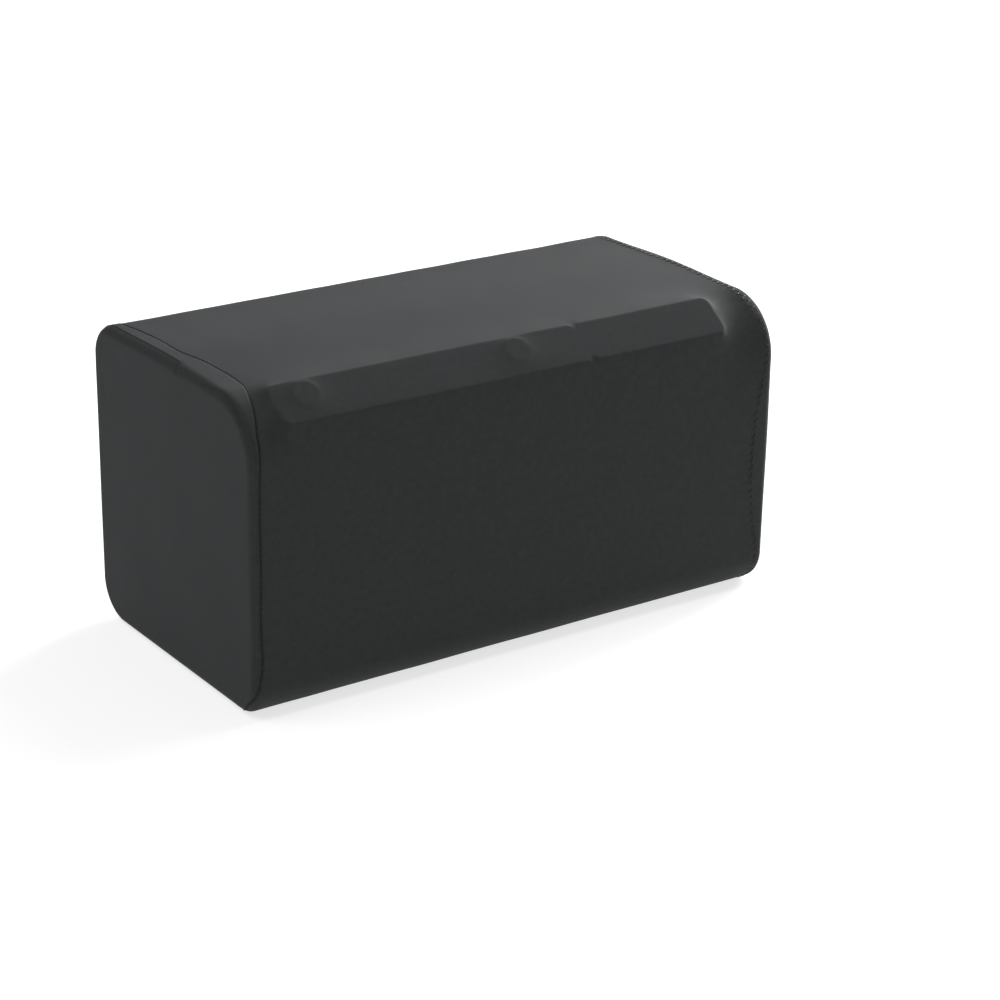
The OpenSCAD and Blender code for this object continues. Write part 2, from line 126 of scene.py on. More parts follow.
def outline(steps):
    """Points round the closed outline, and where each corner starts and ends along it.

    A point is its distance along the outline, y, z, normal y and normal z.
    """
    rows, marks, at = [], [], 0.0
    y, z = 0.0, 0.0
    for cy, cz, radius, first, last in CORNERS:
        a = math.radians(first)
        start = (cy + radius * math.cos(a), cz + radius * math.sin(a))
        run = math.dist((y, z), start)
        count = max(1, round(run / steps["flat"]))
        for k in range(count):
            t = k / count
            between = (y + t * (start[0] - y), z + t * (start[1] - z))
            rows.append((at + t * run, *between, math.cos(a), math.sin(a)))
        at += run
        arc = radius * math.radians(first - last)
        step = steps["bar"] if radius == TOP_FRONT_RADIUS else steps["corner"]
        count = max(1, round(arc / step))
        for k in range(count):
            b = math.radians(first + (last - first) * k / count)
            normal = (math.cos(b), math.sin(b))
            rows.append((at + arc * k / count, cy + radius * normal[0], cz + radius * normal[1], *normal))
        marks.append((at, at + arc))
        at += arc
        b = math.radians(last)
        y, z = cy + radius * math.cos(b), cz + radius * math.sin(b)
    run = math.dist((y, z), (0, 0))
    count = max(1, round(run / steps["flat"]))
    for k in range(count):
        t = k / count
        rows.append((at + t * run, y * (1 - t), z * (1 - t), 0.0, -1.0))
    return np.array(rows), marks, at + run


OUTLINE, MARKS, AROUND = outline({"flat": 2.5 * MM, "corner": 1.5 * MM, "bar": 0.7 * MM})
S = OUTLINE[:, 0]
MOUTH_START = -MOUTH_FRONT                    # the floor side starts at y = 0
MOUTH_END = AROUND - MOUTH_REAR


def smooth(x, low, high):
    t = np.clip((x - low) / (high - low), 0, 1)
    return t * t * (3 - 2 * t)


WAVES = 7


def ripple(a, b, pitch, seed):
    """Soft irregular waves of about unit height over two distances."""
    draw = np.random.default_rng(seed)
    out = np.zeros(np.broadcast(a, b).shape)
    for _ in range(WAVES):
        turn, phase = draw.uniform(0, 2 * math.pi, 2)
        k = 2 * math.pi / (pitch * draw.uniform(0.7, 1.6))
        out += np.sin(k * (a * math.cos(turn) + b * math.sin(turn)) + phase)
    return out / WAVES ** 0.5


SEED = {"left": 3, "right": 4}


def seam_inset(side):
    """How far in from the end the seam runs, at every row of the outline."""
    (bf0, bf1), (tf0, tf1), (tr0, tr1), (br0, br1) = MARKS

    def front(height):
        return bf1 + height * MM - BOTTOM_FRONT_RADIUS

    def on_arc(degrees):
        return tf0 + (tf1 - tf0) * degrees / 90

    def top(y):
        return tf1 + y * MM - CORNERS[1][0]

    if side == "left":
        stations = [
            (bf0, 3.2), ((bf0 + bf1) / 2, -1.8), (bf1, 2.6), (front(34), 5.2), (front(60), 4.8),
            (tf0, 5.2), (on_arc(32), 7.4), (on_arc(57), 12.2),
            (tf1, 18.0), (top(-40), 19.0), (top(-12), 18.4), (top(10), 14.0), (top(40), 14.8),
            (top(62), 14.4), (tr0, 12.5), (tr1, 8.0), (br0, 7.5), (br1, 10.5),
        ]
    else:
        stations = [
            (bf0, 10.5), (bf1, 6.8), (front(28), 7.8), (front(42), 11.0), (front(55), 13.2),
            (front(75), 14.4), (front(95), 14.8), (front(114), 12.6), (front(126), 10.2), (front(151), 7.0),
            (tf1, 8.0), (tr0, 8.5), (tr1, 8.0), (br0, 8.5), (br1, 10.5),
        ]
    stations = [(MOUTH_START, MOUTH_INSET / MM)] + stations + [(MOUTH_END, MOUTH_INSET / MM)]
    where, inset = np.array(stations).T
    inset = np.interp(S, where, inset) * MM
    above = smooth(S, bf0, bf0 + 6 * MM) * (1 - smooth(S, br1 - 6 * MM, br1))
    kernel = np.hanning(9)
    eased = np.convolve(np.pad(inset, 4, mode="edge"), kernel / kernel.sum(), "valid")
    eased = eased + 0.4 * MM * ripple(S, S * 0, 48 * MM, SEED[side])
    return inset + above * (eased - inset)


# ---------------------------------------------------------------- the shape of the stretched cloth

BAR_TILT = math.atan2(BAR_HEAD[1] - BAR_FOOT[1], BAR_HEAD[0] - BAR_FOOT[0])
BAR_MIDDLE = ((BAR_FOOT[0] + BAR_HEAD[0]) / 2, (BAR_FOOT[1] + BAR_HEAD[1]) / 2)
BAR_HALF_WIDTH = math.dist(BAR_FOOT, BAR_HEAD) / 2
SPANS = [
    (low.x - FRAME_INSET, high.x + FRAME_INSET)
    for low, high in ((LONG_LOW, LONG_HIGH), (SHORT_LOW, SHORT_HIGH))
]


def in_rounded_box(x, y, left, right, half_width, corner):
    """How far inside a rounded rectangle each point is; negative outside it."""
    dx = np.abs(x - (left + right) / 2) - ((right - left) / 2 - corner)
    dy = np.abs(y) - (half_width - corner)
    outside = np.hypot(np.maximum(dx, 0), np.maximum(dy, 0))
    return corner - outside - np.minimum(np.maximum(dx, dy), 0)


def bar_support(x):
    """How far the bars hold the cloth off the plain outline, at rows by columns of positions x.

    It is -1 where they don't.
    """
    cy, cz, radius = CORNERS[1][:3]
    rows = len(S)
    up = np.full((rows, x.shape[1]), -1.0)
    angle = np.arctan2(OUTLINE[:, 4], OUTLINE[:, 3])
    normal = math.pi / 2 + BAR_TILT
    reach_y, reach_z = BAR_MIDDLE[0] - cy, BAR_MIDDLE[1] - cz
    distance = -reach_y * math.sin(BAR_TILT) + reach_z * math.cos(BAR_TILT)
    shift = reach_y * math.cos(BAR_TILT) + reach_z * math.sin(BAR_TILT)
    tf0, tf1 = MARKS[1]
    for i in np.flatnonzero((S >= tf0) & (S <= tf1)):
        turn = normal - angle[i]
        across = distance * math.tan(turn) - shift
        ray = distance / math.cos(turn) - radius
        for left, right in SPANS:
            inside = in_rounded_box(x[i], across, left, right, BAR_HALF_WIDTH, BAR_CORNER)
            rounded = -0.25 * MM * (1 - smooth(inside, 0, 0.9 * MM))
            up[i] = np.where(inside > 0, np.maximum(up[i], ray + rounded), up[i])
        for disc_x in DISC_XS:
            away = np.hypot(x[i] - disc_x, across - DISC_RISE)
            cap = DISC_HEIGHT - 0.15 * MM * smooth(away, DISC_RADIUS - 0.8 * MM, DISC_RADIUS)
            up[i] = np.where(away < DISC_RADIUS, np.maximum(up[i], ray + cap), up[i])
    return up


def stretch(x, support, held, rounds=500, over=1.85):
    """Relaxes a net of evenly tensioned threads laid over the supports.

    Each knot moves only along the outline's normal.
    """
    rows = np.flatnonzero((S >= MOUTH_START - 1e-9) & (S <= MOUTH_END + 1e-9))
    base, normal = OUTLINE[rows, 1:3], OUTLINE[rows, 3:5]
    x, support, held = x[rows], support[rows], held[rows]
    step = np.diff(S[rows])
    gap = np.diff(x, axis=1)
    height = np.empty(len(rows))
    height[1:-1] = (step[1:] + step[:-1]) / 2
    height[[0, -1]] = step[[0, -1]]
    width = np.empty_like(x)
    width[:, 1:-1] = (gap[:, 1:] + gap[:, :-1]) / 2
    width[:, [0, -1]] = gap[:, [0, -1]]
    side = height[:, None] / gap
    along = (width[1:] + width[:-1]) / 2 / step[:, None]
    carry = (normal[1:] * normal[:-1]).sum(1)[:, None]
    drop_next = ((base[1:] - base[:-1]) * normal[:-1]).sum(1)[:, None]
    drop_last = ((base[:-1] - base[1:]) * normal[1:]).sum(1)[:, None]
    lift = np.maximum(support, 0.0)
    total = np.zeros_like(x)
    total[:, 1:] += side
    total[:, :-1] += side
    total[1:] += along
    total[:-1] += along
    checker = (np.add.outer(np.arange(len(rows)), np.arange(x.shape[1])) % 2).astype(bool)
    for _ in range(rounds):
        for colour in (checker, ~checker):
            pull = np.zeros_like(x)
            pull[:, 1:] += side * lift[:, :-1]
            pull[:, :-1] += side * lift[:, 1:]
            pull[1:] += along * (drop_last + carry * lift[:-1])
            pull[:-1] += along * (drop_next + carry * lift[1:])
            moved = lift + over * (pull / total - lift)
            moved = np.maximum(moved, support)
            moved[held] = 0.0
            lift = np.where(colour, moved, lift)
    full = np.zeros((len(S), x.shape[1]))
    full[rows] = lift
    return full


def round_the_end(y, z, ny, nz, w, sign):
    """The point that lies w along the cloth past the start of an end's rounded edge.

    w is negative on the long faces.
    """
    phi = np.clip(w, 0, QUARTER) / EDGE_RADIUS
    over = np.maximum(w - QUARTER, 0)
    depth = EDGE_RADIUS * (1 - np.cos(phi)) + over
    x = HALF_LENGTH - EDGE_RADIUS * (1 - np.sin(phi)) + np.minimum(w, 0)
    point = np.stack([sign * x, y - ny * depth, z - nz * depth], axis=-1)
    out = np.stack([sign * np.sin(phi), ny * np.cos(phi), nz * np.cos(phi)], axis=-1)
    return point, out


def allowance_edge(s):
    """Where the folded seam allowance inside the left end stops, as w, with a step part-way along the top."""
    (_, bf1), (tf0, tf1), (tr0, tr1), _ = MARKS
    change = (tf1 + tr0) / 2 - 18 * MM
    stations = [
        (bf1, 3.8), (tf0, 3.8), ((tf0 + tf1) / 2, 3.0), (tf1, 2.6), (change - 1.0 * MM, 5.4),
        (change + 1.0 * MM, 0.6), (tr0, -0.2), (tr1, 3.0),
    ]
    where, edge = np.array(stations).T
    return np.interp(s, where, edge) * MM


def crown(s):
    """The cloth over the top stands a little higher at the middle of its depth."""
    _, (_, tf1), (tr0, _), _ = MARKS
    return CROWN * np.sin(math.pi * np.clip((s - tf1) / (tr0 - tf1), 0, 1)) ** 2


def mesh_object(name, points, quads, uv=None):
    data = bpy.data.meshes.new(name)
    data.from_pydata(points.tolist(), [], quads)
    if uv is not None:
        layer = data.uv_layers.new(name="cloth")
        loops = np.zeros(len(data.loops), np.int32)
        data.loops.foreach_get("vertex_index", loops)
        layer.data.foreach_set("uv", uv[loops].astype(np.float32).ravel())
    data.polygons.foreach_set("use_smooth", [True] * len(data.polygons))
    data.update()
    made = bpy.data.objects.new(name, data)
    bpy.context.scene.collection.objects.link(made)
    return made


def grid_faces(rows, columns, wrap_rows=False, flip=False):
    faces = []
    for i in range(rows if wrap_rows else rows - 1):
        j = (i + 1) % rows
        for k in range(columns - 1):
            face = (i * columns + k, i * columns + k + 1, j * columns + k + 1, j * columns + k)
            faces.append(face[::-1] if flip else face)
    return faces


def thicken(obj, thickness):
    """Gives a sheet its thickness, on the side away from its normals."""
    solid = obj.modifiers.new("thickness", "SOLIDIFY")
    solid.thickness = thickness
    solid.offset = -1
    return obj


SEAM = {"left": seam_inset("left"), "right": seam_inset("right")}
SEAM_DEPTH = {"left": 0.35 * MM, "right": 0.04 * MM}
SEAM_SLIT = {"left": 0.16 * MM, "right": 0.0}
GROOVE_WIDTH = 0.6 * MM
PUCKER = {"left": 0.05 * MM, "right": 0.08 * MM}
PUCKER_PITCH = 5.5 * MM
PUCKER_REACH = 5 * MM


def seam_dip(side, distance, s):
    """The cloth sinks into the seam and puckers a little beside it."""
    pucker = PUCKER[side] * ripple(s, distance * 0.3, PUCKER_PITCH, SEED[side])
    pucker = pucker * np.exp(-distance / PUCKER_REACH)
    groove = -SEAM_DEPTH[side] * np.exp(-(distance / GROOVE_WIDTH) ** 2)
    return groove + pucker


def middle_columns():
    """Positions along x across the middle of the wrap, closest at the bars' ends and at the discs."""
    bar_ends = (LONG_LOW.x, LONG_HIGH.x, SHORT_LOW.x, SHORT_HIGH.x)
    places = [-MIDDLE]
    while places[-1] < MIDDLE:
        at = places[-1]
        from_ends = [abs(at - end) for end in bar_ends]
        from_discs = [max(abs(at - disc) - DISC_RADIUS, 0) for disc in DISC_XS]
        away = min(from_ends + from_discs)
        places.append(at + FINE_STEP + WIDER_STEP * float(smooth(away, 4 * MM, 16 * MM)))
    places = np.array(places)
    return -MIDDLE + (places + MIDDLE) * 2 * MIDDLE / (places[-1] + MIDDLE)


def wrap_cloth():
    """The long piece of cloth: front, top and rear, with the front and rear hems."""
    rows = np.flatnonzero((S >= MOUTH_START - 1e-9) & (S <= MOUTH_END + 1e-9))
    seam_left = -(HALF_LENGTH - SEAM["left"])[:, None]
    seam_right = (HALF_LENGTH - SEAM["right"])[:, None]
    middle = middle_columns()
    share = np.linspace(0, 1, SEAM_COLUMNS, endpoint=False)[None, :] ** 1.5
    x = np.concatenate([
        seam_left + SEAM_SLIT["left"] + (middle[0] - seam_left - SEAM_SLIT["left"]) * share,
        np.broadcast_to(middle, (len(S), len(middle))),
        (seam_right - SEAM_SLIT["right"] + (middle[-1] - seam_right + SEAM_SLIT["right"]) * share)[:, ::-1],
    ], axis=1)
    support = bar_support(x)
    (bf0, bf1), _, (tr0, tr1), (br0, br1) = MARKS
    for start, end in ((MOUTH_START - 1, bf1), (tr0, tr1), (br0, MOUTH_END + 1)):
        railed = (S >= start) & (S <= end)
        support[railed] = np.maximum(support[railed], 0.0)
    held = np.abs(x) > -TUBE_HIGH.x + 0.5 * MM
    held[:, [0, -1]] = True
    lift = stretch(x, support, held)
    eased = lift.copy()
    eased[1:-1] = (lift[:-2] + 2 * lift[1:-1] + lift[2:]) / 4
    eased[:, 1:-1] = (eased[:, :-2] + 2 * eased[:, 1:-1] + eased[:, 2:]) / 4
    lift = (lift + eased) / 2
    y, z, ny, nz = (OUTLINE[:, k][:, None] for k in (1, 2, 3, 4))
    s = S[:, None]
    sign = np.where(x < 0, -1.0, 1.0)
    point, out = round_the_end(y, z, ny, nz, np.abs(x) - (HALF_LENGTH - EDGE_RADIUS), sign)
    raise_by = lift + crown(s) + 0.10 * MM * ripple(x, s, 45 * MM, 5)
    raise_by = raise_by + np.where(
        x < 0, seam_dip("left", x - seam_left, s), seam_dip("right", seam_right - x, s)
    )
    raise_by = np.where((s < bf0) | (s > br1), np.minimum(raise_by, 0.0), raise_by)
    point = point + out * raise_by[..., None]
    point[..., 2] = np.maximum(point[..., 2], 0.0)
    point = round_mouth(point)
    uv = np.stack([x, np.broadcast_to(s, x.shape)], axis=-1)
    made = mesh_object(
        "wrap_cloth", point[rows].reshape(-1, 3), grid_faces(len(rows), x.shape[1]), uv[rows].reshape(-1, 2)
    )
    return thicken(made, CLOTH)


def round_mouth(point):
    """Draws the hem in round the four corners of the mouth, so that its edge meets the rounded channel."""
    radius = MOUTH_RADIUS + CASING_WIDTH / 2
    reach = 10 * MM
    middle = (CASING_LOW.y + CASING_HIGH.y) / 2
    corner = np.array([CASING_HIGH.x - radius, CASING_HIGH.y - middle - radius])
    flat = np.stack([point[..., 0], point[..., 1] - middle], axis=-1)
    past = np.abs(flat) - corner
    away = np.maximum(np.linalg.norm(past, axis=-1), 1e-9)
    edge = radius * away / np.maximum(past.max(-1), 1e-9)
    near = (past.min(-1) > 0) & (point[..., 2] < 2 * MM)
    draw = np.where(near, (edge - radius) * (1 - smooth(away - edge, 0, reach)), 0.0)
    moved = point.copy()
    moved[..., :2] -= np.sign(flat) * past * (draw / away)[..., None]
    return moved


def end_cloth(side):
    """One end: a flat face, its rounded rim, and the hem turned in below it."""
    sign = -1.0 if side == "left" else 1.0
    s = S[:, None]
    y, z, ny, nz = (OUTLINE[:, k][:, None] for k in (1, 2, 3, 4))
    (bf0, bf1), _, (tr0, tr1), (_, br1) = MARKS
    w_seam = EDGE_RADIUS - SEAM[side][:, None] + SEAM_SLIT[side]
    crease = np.full_like(s, QUARTER)
    if side == "left":
        crease = np.maximum(allowance_edge(s), w_seam + 2 * MM)
    to_crease = 0.5 - 0.5 * np.cos(np.linspace(0, math.pi, BAND_COLUMNS))[None, :]
    past_crease = np.linspace(0, 1, RIM_COLUMNS)[None, 1:] ** 1.4
    w = np.concatenate([
        w_seam + (crease - w_seam) * to_crease,
        crease + (RIM_END - crease) * past_crease,
    ], axis=1)
    rim = w.shape[1]
    point, out = round_the_end(y, z, ny, nz, w, sign)
    raise_by = seam_dip(side, w - w_seam, s)
    if side == "left":
        folded = smooth(s, bf1, bf1 + 25 * MM) * (1 - smooth(s, tr0, tr1))
        band = smooth(w - w_seam, 0.2 * MM, 2.0 * MM)
        band = band * (1 - smooth(w, crease - 0.1 * MM, crease + 0.5 * MM))
        raise_by = raise_by + ALLOWANCE * folded * band
    on_floor = (s < bf0) | (s > br1)
    point = point + out * np.where(on_floor, 0.0, raise_by)[..., None]
    point[..., 2] += crown(s) * (1 - smooth(w, QUARTER, RIM_END))
    ring = point[:, -1]
    count, faces = point.shape[0] * rim, grid_faces(len(S), rim, wrap_rows=True, flip=side == "left")
    inner, fill = fill_ring(ring, 4 * MM)
    at_ring = lambda k: k * rim + rim - 1 if k < len(S) else count + k - len(S)
    for face in fill:
        face = [at_ring(k) for k in face]
        faces.append(tuple(face if side == "right" else face[::-1]))
    point = np.concatenate([point.reshape(-1, 3), inner])
    flat = smooth(np.abs(point[:, 0]), HALF_LENGTH - 0.4 * EDGE_RADIUS, HALF_LENGTH)
    waves = 0.12 * MM * ripple(point[:, 1], point[:, 2], 60 * MM, 17)
    if side == "right":
        high = (point[:, 2] - 105 * MM) / (62 * MM)
        deep = (point[:, 1] + 40 * MM) / (80 * MM)
        waves = waves + RIGHT_BULGE * np.exp(-high ** 2) * np.exp(-deep ** 2)
    else:
        waves = waves + fan_creases(point)
    point[:, 0] += sign * waves * flat
    point[:, 2] = np.maximum(point[:, 2], 0.0)
    point = round_mouth(point)
    uv = np.stack([point[:, 1], point[:, 2] + HALF_LENGTH - np.abs(point[:, 0])], axis=-1)
    made = mesh_object(side + "_end_cloth", point, faces, uv)
    return thicken(made, CLOTH)


def fill_ring(ring, spacing):
    """Points and triangles that fill a ring of points in the plane of an end."""
    low, high = ring.min(0), ring.max(0)
    centre = (low + high) / 2
    shrunk = (ring[:, 1:] - centre[1:]) * (1 - 2 * spacing / (high - low)[1:]) + centre[1:]
    inside = []
    rows, columns = (round(float(extent) / spacing) for extent in (high - low)[1:])
    for i in range(1, rows):
        for k in range(1, columns):
            spot = low[1:] + (high - low)[1:] * np.array([i / rows, k / columns])
            if is_inside(spot, shrunk):
                inside.append(spot)
    flat = [Vector(p) for p in ring[:, 1:]] + [Vector(p) for p in inside]
    _, _, faces, origin, _, _ = delaunay_2d_cdt(flat, [], [list(range(len(ring)))], 1, 1e-7)
    faces = [[origin[k][0] for k in face] for face in faces]
    inner = np.array([[centre[0], *p] for p in inside])
    return inner, faces


def is_inside(spot, ring):
    """Counts how often a line from the spot crosses the ring."""
    after = np.roll(ring, -1, axis=0)
    spans = (ring[:, 1] > spot[1]) != (after[:, 1] > spot[1])
    rise = np.where(after[:, 1] == ring[:, 1], 1.0, after[:, 1] - ring[:, 1])
    cross = ring[:, 0] + (spot[1] - ring[:, 1]) * (after[:, 0] - ring[:, 0]) / rise
    return bool(np.sum(spans & (cross > spot[0])) % 2)


def fan_creases(point):
    """Faint creases that spread from the rear top corner of the left end."""
    dy = point[..., 1] - (HALF_DEPTH - 8 * MM)
    dz = point[..., 2] - (TOP - 8 * MM)
    away = np.hypot(dy, dz)
    angle = np.arctan2(dz, dy)
    return 0.07 * MM * np.sin(angle * 22) * np.exp(-((away - 30 * MM) / (18 * MM)) ** 2)


# ---------------------------------------------------------------- seams, hem casing, elastic and label


def sweep(path, upward, section, closed):
    """Carries a closed section of (sideways, upward) offsets along a path.

    The section may differ at every point of the path.
    """
    ahead = np.roll(path, -1, axis=0) - np.roll(path, 1, axis=0)
    if not closed:
        ahead[0] = path[1] - path[0]
        ahead[-1] = path[-1] - path[-2]
    ahead /= np.linalg.norm(ahead, axis=1)[:, None]
    sideways = np.cross(ahead, upward)
    sideways /= np.linalg.norm(sideways, axis=1)[:, None]
    upward = np.cross(sideways, ahead)
    points = path[:, None] + sideways[:, None] * section[..., :1] + upward[:, None] * section[..., 1:]
    rows, columns = points.shape[:2]
    faces = []
    for i in range(rows if closed else rows - 1):
        for k in range(columns):
            after = (k + 1) % columns
            j = (i + 1) % rows
            faces.append((j * columns + k, j * columns + after, i * columns + after, i * columns + k))
    return points.reshape(-1, 3), faces


def circle(radius, sides):
    turn = np.linspace(0, 2 * math.pi, sides, endpoint=False)
    return radius * np.stack([np.cos(turn), np.sin(turn)], axis=-1)


def on_end(side, s, w, lift):
    """Points lifted off the cloth near one end's rounded edge.

    s is the place round the outline, and w how far past the start of the edge.
    """
    closed = np.append(S, AROUND)
    y, z, ny, nz = (
        np.interp(s, closed, np.append(OUTLINE[:, k], OUTLINE[0, k])) for k in (1, 2, 3, 4)
    )
    point, out = round_the_end(y, z, ny, nz, w, -1.0 if side == "left" else 1.0)
    point = point + out * np.expand_dims(lift, -1)
    point[..., 2] += crown(s)
    return point, out


def seam_at(side, s):
    return EDGE_RADIUS - np.interp(s, S, SEAM[side])


def seam_thread(side):
    """One thread sewn in a zigzag over the seam. It dips into the cloth at every turn and swells there into a
    near-black knot, which is painted shade of the needle holes.
    """
    start, end = MARKS[0][0] + 2 * MM, MARKS[3][1] - 2 * MM
    legs, steps = round((end - start) / STITCH_PITCH[side]), 5
    k = np.arange(legs * steps + 1) / steps
    s = start + (end - start) * k / legs
    swing = 2 * np.abs(k % 2 - 1) - 1
    turning = np.abs(swing) ** 8
    radius = THREAD_RADIUS[side] + (HOLE_SHADE_KNOT_RADIUS[side] - THREAD_RADIUS[side]) * turning
    lift = THREAD_RADIUS[side] * (1 - turning) - 0.55 * HOLE_SHADE_KNOT_RADIUS[side] * turning
    path, out = on_end(side, s, seam_at(side, s) + swing * STITCH_HALF_WIDTH[side], lift)
    path[:, 2] = np.maximum(path[:, 2], HOLE_SHADE_KNOT_RADIUS[side])
    section = radius[:, None, None] * circle(1.0, 6)
    return mesh_object(side + "_seam_stitching", *sweep(path, out, section, closed=False))


def seam_tape(side):
    """A thin woven tape that backs the seam on the inside of the cover."""
    s = np.arange(MARKS[0][0], MARKS[3][1], 2.0 * MM)[:, None]
    across = np.linspace(-TAPE_WIDTH / 2, TAPE_WIDTH / 2, 9)[None, :]
    s, across = np.broadcast_arrays(s, across)
    rolled = 0.06 * MM * ripple(s, across, 9 * MM, 21) - 0.08 * MM
    point, _ = on_end(side, s, seam_at(side, s) + across, -CLOTH - np.abs(rolled) * 0.3)
    point[..., 2] = np.maximum(point[..., 2], CLOTH + 0.2 * MM)
    uv = np.stack([across, s], axis=-1).reshape(-1, 2)
    made = mesh_object(
        side + "_seam_binding", point.reshape(-1, 3), grid_faces(*s.shape, flip=side == "left"), uv
    )
    return thicken(made, 0.3 * MM)


def mouth_path(spacing, gap=0.0):
    """Points round the mouth at the casing's middle height, less a gap at the middle of the rear."""
    half = (CASING_HIGH - CASING_LOW) / 2
    centre = (CASING_HIGH + CASING_LOW) / 2
    across, deep = half.x - CASING_WIDTH / 2, half.y - CASING_WIDTH / 2
    y_arc, x_arc = deep - MOUTH_RADIUS, across - MOUTH_RADIUS
    corners = [(y_arc, x_arc, 90), (-y_arc, x_arc, 0), (-y_arc, -x_arc, -90), (y_arc, -x_arc, -180)]
    points = [(0.0, deep)]
    for y, x, first in corners:
        for k in range(MOUTH_STEPS + 1):
            turn = math.radians(first - 90 * k / MOUTH_STEPS)
            points.append((x + MOUTH_RADIUS * math.cos(turn), y + MOUTH_RADIUS * math.sin(turn)))
    points.append((0.0, deep))
    points = np.array(points)
    at = np.concatenate([[0], np.cumsum(np.linalg.norm(np.diff(points, axis=0), axis=1))])
    where = np.linspace(gap / 2, at[-1] - gap / 2, round((at[-1] - gap) / spacing) + 1)
    if gap == 0:
        where = where[:-1]
    x, y = np.interp(where, at, points[:, 0]), np.interp(where, at, points[:, 1])
    return where, np.stack([x, y + centre.y, np.full(len(x), centre.z)], axis=-1)


def hem_channel():
    """The sewn channel round the mouth, gathered along the elastic and open at the middle of the rear."""
    where, path = mouth_path(1.2 * MM, gap=CHANNEL_GAP)
    turn = np.linspace(0, 2 * math.pi, 20, endpoint=False)
    square = 1 / (np.abs(np.cos(turn)) ** 4 + np.abs(np.sin(turn)) ** 4) ** 0.25
    uneven = 1.2 * ripple(where, where * 0, 40 * MM, 31)
    gather = 1 - 0.05 * (1 + np.sin(2 * math.pi * where / GATHER_PITCH + uneven))
    high = 0.5 * (CASING_HIGH.z - CASING_LOW.z) - 0.1 * MM
    section = np.stack([
        np.outer(gather, CASING_WIDTH / 2 * square * np.cos(turn)),
        np.outer(gather, high * square * np.sin(turn)),
    ], axis=-1)
    points, faces = sweep(path, np.tile([0.0, 0.0, 1.0], (len(path), 1)), section, closed=False)
    made = mesh_object("hem_channel", points, faces)
    return thicken(made, CHANNEL_CLOTH)


def elastic_loop():
    """A round braided elastic in one closed loop."""
    where, path = mouth_path(0.8 * MM)
    turn = np.linspace(0, 2 * math.pi, 12, endpoint=False)[None, :]
    along = 2 * math.pi * where[:, None] / BRAID_PITCH
    braid = 1 + 0.04 * np.sin(3 * turn + along)
    braid = braid + 0.04 * np.sin(3 * turn - along)
    section = ELASTIC_RADIUS * braid[..., None] * np.stack([np.cos(turn), np.sin(turn)], axis=-1)
    up = np.tile([0.0, 0.0, 1.0], (len(path), 1))
    return mesh_object("elastic_loop", *sweep(path, up, section, closed=True))


def woven_label():
    """A blank folded label sewn to the inside of the rear wall along its top edge."""
    width, height = LABEL_HIGH.x - LABEL_LOW.x, LABEL_HIGH.z - LABEL_LOW.z
    u, v = np.meshgrid(np.linspace(0, 1, 31), np.linspace(0, 1, 23))
    curl = 0.18 * MM * np.sin(2.2 * math.pi * u + 0.6) * (1 - v) + 0.12 * MM * (1 - v) ** 2
    y = LABEL_HIGH.y - 0.25 * MM - curl * 0.5
    point = np.stack([LABEL_LOW.x + width * u, y, LABEL_LOW.z + height * v], axis=-1)
    uv = np.stack([u * width, v * height], axis=-1).reshape(-1, 2)
    made = mesh_object("sewn_label", point.reshape(-1, 3), grid_faces(23, 31), uv)
    return thicken(made, 0.25 * MM)


# ---------------------------------------------------------------- materials


def colour(value):
    return (*value, 1.0)


def new_material(name):
    made = bpy.data.materials.new(name)
    made.use_nodes = True
    return made, made.node_tree.nodes, made.node_tree.links, made.node_tree.nodes["Principled BSDF"]


def noise(nodes, scale, detail=3.0, rough=0.5):
    made = nodes.new("ShaderNodeTexNoise")
    made.inputs["Scale"].default_value = scale
    made.inputs["Detail"].default_value = detail
    made.inputs["Roughness"].default_value = rough
    return made


def ramp(nodes, links, source, low, high, first, last):
    made = nodes.new("ShaderNodeMapRange")
    made.inputs["From Min"].default_value = low
    made.inputs["From Max"].default_value = high
    made.inputs["To Min"].default_value = first
    made.inputs["To Max"].default_value = last
    links.new(source, made.inputs["Value"])
    return made.outputs["Result"]


def wave(nodes, links, vector, direction, pitch):
    made = nodes.new("ShaderNodeTexWave")
    made.wave_type = "BANDS"
    made.bands_direction = direction
    made.inputs["Scale"].default_value = 2 * math.pi / pitch / 20
    made.inputs["Distortion"].default_value = 0.6
    made.inputs["Detail"].default_value = 1.0
    made.inputs["Detail Scale"].default_value = 2.0
    links.new(vector, made.inputs["Vector"])
    return made.outputs["Fac"]


def combine(nodes, links, kind, a, b):
    made = nodes.new("ShaderNodeMath")
    made.operation = kind
    for socket, value in zip(made.inputs, (a, b)):
        if isinstance(value, (int, float)):
            socket.default_value = value
        else:
            links.new(value, socket)
    return made.outputs["Value"]


def bump(nodes, links, height, distance, strength, below=None):
    made = nodes.new("ShaderNodeBump")
    made.inputs["Distance"].default_value = distance
    made.inputs["Strength"].default_value = strength
    links.new(height, made.inputs["Height"])
    if below is not None:
        links.new(below, made.inputs["Normal"])
    return made.outputs["Normal"]


